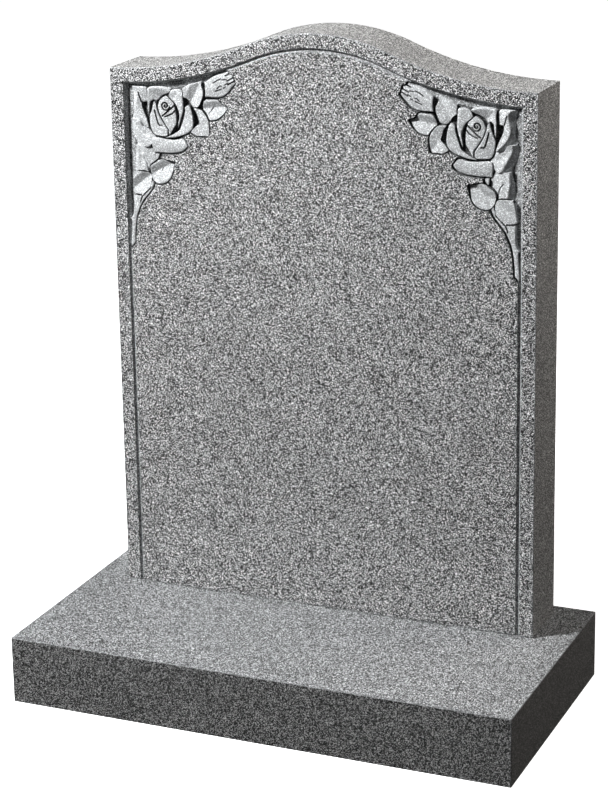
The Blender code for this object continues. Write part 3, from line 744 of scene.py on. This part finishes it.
def as_object(name, bm, materials):
    mesh = bpy.data.meshes.new(name)
    bm.to_mesh(mesh)
    bm.free()
    for material in materials:
        mesh.materials.append(material)
    made = bpy.data.objects.new(name, mesh)
    bpy.context.scene.collection.objects.link(made)
    return made


def finished(name, bm, materials, node):
    """The mesh as an object of the model, smooth but for the edges between its finishes."""
    bmesh.ops.recalc_face_normals(bm, faces=bm.faces)
    for edge in bm.edges:
        kinds = {face.material_index for face in edge.link_faces}
        edge.smooth = len(kinds) == 1 and edge.calc_face_angle(0) < SMOOTH_ANGLE
    for face in bm.faces:
        face.smooth = True
    made = as_object(name, bm, materials)
    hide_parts(node)
    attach(made, "root")


def add_node(tree, kind, inputs=None, **settings):
    """A shader node with its settings, and its inputs as values or as sockets to link."""
    made = tree.nodes.new("ShaderNode" + kind)
    for name, value in settings.items():
        setattr(made, name, value)
    for name, value in (inputs or {}).items():
        socket = made.inputs[name]
        if isinstance(value, bpy.types.NodeSocket):
            tree.links.new(value, socket)
        else:
            socket.default_value = value
    return made


# Crystals of the granite: sizes in metres, the share of black mica, the shades of the rest from
# dark to white feldspar, and the shade that takes a finish's level unchanged
GRAIN = 0.00078
FINE_GRAIN = 0.0007
MICA_SHARE = 0.15
SHADES = [(0.0, 0.01), (0.40, 0.02), (0.58, 0.07), (0.68, 0.35), (0.75, 0.85), (0.82, 1.1)]
MIDDLE_SHADE = 0.33
DARKEST = 0.01
LIGHTEST = 0.98
TINT = (0.98, 1.0, 1.01)

# How the crystals' edges are bent, the faint clouds over them, the grit of a rough finish,
# and how far the roughness differs from crystal to crystal
BEND_SCALE = 420.0
BEND_REACH = 0.0012
CLOUD_SCALE = 26.0
CLOUD_RANGE = (0.92, 1.08)
GRIT_SCALE = 900.0
ROUGHNESS_RANGE = (0.85, 1.15)


def granite(name, level, contrast, roughness, bump, warmth=0.0):
    """Speckled granite: level is its middle shade, contrast how far the crystals stand apart,
    bump the height of its grit in metres, and warmth a shift from blue to red."""
    material = bpy.data.materials.new(name)
    material.use_nodes = True
    tree = material.node_tree
    shader = tree.nodes["Principled BSDF"]
    place = add_node(tree, "TexCoord").outputs["Object"]
    bent = add_node(tree, "TexNoise", {"Vector": place, "Scale": BEND_SCALE, "Detail": 2.0})
    shift = add_node(
        tree, "VectorMath", {0: bent.outputs["Color"], 1: (0.5, 0.5, 0.5)}, operation="SUBTRACT",
    )
    shift = add_node(tree, "VectorMath", {0: shift.outputs[0], "Scale": BEND_REACH}, operation="SCALE")
    place_bent = add_node(tree, "VectorMath", {0: place, 1: shift.outputs[0]}, operation="ADD").outputs[0]

    grains = add_node(tree, "TexVoronoi", {"Vector": place_bent, "Scale": 1 / GRAIN})
    pick = add_node(tree, "SeparateColor", {"Color": grains.outputs["Color"]}).outputs[0]
    fine = add_node(tree, "TexVoronoi", {"Vector": place_bent, "Scale": 1 / FINE_GRAIN})
    fleck = add_node(tree, "SeparateColor", {"Color": fine.outputs["Color"]}).outputs[0]
    not_mica = add_node(tree, "Math", {0: fleck, 1: MICA_SHARE}, operation="GREATER_THAN").outputs[0]
    pick = add_node(tree, "Math", {0: pick, 1: not_mica}, operation="MULTIPLY").outputs[0]

    ramp = add_node(tree, "ValToRGB", {"Fac": pick})
    ramp.color_ramp.interpolation = "LINEAR"
    stops = ramp.color_ramp.elements
    tint = (TINT[0] + warmth, TINT[1], TINT[2] - warmth)
    for k, (position, shade) in enumerate(SHADES):
        stop = stops[k] if k < 2 else stops.new(position)
        stop.position = position
        value = level + (shade - MIDDLE_SHADE) * contrast
        stop.color = (*[min(max(value * part, DARKEST), LIGHTEST) for part in tint], 1)

    clouds = add_node(tree, "TexNoise", {"Vector": place, "Scale": CLOUD_SCALE, "Detail": 3.0})
    cloud = add_node(
        tree, "MapRange",
        {"Value": clouds.outputs[0], "To Min": CLOUD_RANGE[0], "To Max": CLOUD_RANGE[1]},
    )
    colour = add_node(
        tree, "VectorMath", {0: ramp.outputs[0], "Scale": cloud.outputs[0]}, operation="SCALE",
    )
    tree.links.new(colour.outputs[0], shader.inputs["Base Color"])
    smoothest, roughest = (roughness * part for part in ROUGHNESS_RANGE)
    rough = add_node(tree, "MapRange", {"Value": fleck, "To Min": smoothest, "To Max": roughest})
    tree.links.new(rough.outputs[0], shader.inputs["Roughness"])
    if bump:
        grit = add_node(tree, "TexNoise", {"Vector": place, "Scale": GRIT_SCALE, "Detail": 3.0})
        height = add_node(tree, "Math", {0: grit.outputs[0], 1: fleck}, operation="ADD")
        relief = add_node(
            tree, "Bump", {"Height": height.outputs[0], "Strength": 1.0, "Distance": bump},
        )
        tree.links.new(relief.outputs[0], shader.inputs["Normal"])
    return material


def stage_material():
    """A plain pale floor that glows a little, so that it is as white as the background."""
    material = bpy.data.materials.new("pale_floor")
    material.use_nodes = True
    shader = material.node_tree.nodes["Principled BSDF"]
    shader.inputs["Base Color"].default_value = (FLOOR_SHADE, FLOOR_SHADE, FLOOR_SHADE, 1)
    shader.inputs["Roughness"].default_value = 0.9
    shader.inputs["Specular IOR Level"].default_value = 0
    shader.inputs["Emission Color"].default_value = (1, 1, 1, 1)
    shader.inputs["Emission Strength"].default_value = FLOOR_GLOW
    return material


def make_stage():
    bm = bmesh.new()
    bmesh.ops.create_grid(bm, x_segments=1, y_segments=1, size=FLOOR_HALF_WIDTH)
    floor = as_object("floor", bm, [stage_material()])
    floor.location.z = -FLOOR_DROP
    floor.visible_diffuse = False
    floor.visible_glossy = False


def make_lamp(name, place, size, power, colour):
    lamp = bpy.data.lights.new(name, "AREA")
    lamp.size = size
    lamp.energy = power
    lamp.color = colour
    made = bpy.data.objects.new(name, lamp)
    made.location = place
    made.rotation_euler = (Vector(LIGHT_AIM) - made.location).to_track_quat("-Z", "Y").to_euler()
    bpy.context.scene.collection.objects.link(made)


def make_light():
    """A key light from the front upper left, a faint warm fill from behind on the right, and a white
    background that lights the stones only a little."""
    make_lamp("key_light", KEY_PLACE, KEY_SIZE, KEY_POWER, KEY_COLOUR)
    make_lamp("fill_light", FILL_PLACE, FILL_SIZE, FILL_POWER, FILL_COLOUR)
    world = bpy.data.worlds.new("studio")
    world.use_nodes = True
    tree = world.node_tree
    seen = add_node(tree, "LightPath").outputs["Is Camera Ray"]
    strength = add_node(
        tree, "MapRange", {"Value": seen, "To Min": AMBIENT, "To Max": SEEN_BACKGROUND},
    )
    back = tree.nodes["Background"]
    back.inputs["Color"].default_value = (1, 1, 1, 1)
    tree.links.new(strength.outputs[0], back.inputs["Strength"])
    bpy.context.scene.world = world


def make_camera():
    data = bpy.data.cameras.new("camera")
    data.sensor_width = CAMERA_SENSOR
    data.lens = CAMERA_LENS
    data.shift_y = CAMERA_SHIFT_Y
    camera = bpy.data.objects.new("camera", data)
    camera.location = CAMERA_PLACE
    camera.rotation_euler = Euler([math.radians(angle) for angle in CAMERA_TURN])
    bpy.context.scene.collection.objects.link(camera)
    bpy.context.scene.camera = camera


make_camera()
tablet_finishes = [
    granite("tablet_polished", level=0.35, contrast=1.35, roughness=0.32, bump=0),
    granite("tablet_frosted", level=0.53, contrast=0.5, roughness=0.8, bump=0.0004),
    granite("tablet_sawn", level=0.31, contrast=0.75, roughness=0.6, bump=0.0002, warmth=0.03),
    granite("tablet_eased", level=0.29, contrast=0.46, roughness=0.6, bump=0),
    # Painted dark as shade for the cuts, crease floors and ground between the forms.
    granite("tablet_rough_painted_shade", level=0.1, contrast=0.22, roughness=0.85, bump=0.0004),
    # Darker than the frosted forms, as painted shade for the sunk ground.
    granite("tablet_sunk_painted_shade", level=0.32, contrast=0.54, roughness=0.8, bump=0.0004),
]
make_tablet(tablet_finishes)
plinth_finishes = [
    granite("plinth_polished", level=0.11, contrast=0.6, roughness=0.35, bump=0, warmth=0.02),
    granite("plinth_top", level=0.165, contrast=0.85, roughness=0.5, bump=0),
    granite("plinth_sides", level=0.14, contrast=0.24, roughness=0.6, bump=0.0002, warmth=0.04),
    granite("plinth_eased", level=0.2, contrast=0.31, roughness=0.6, bump=0),
]
make_plinth(plinth_finishes)
make_stage()
make_light()
bpy.context.scene.view_settings.view_transform = "Standard"
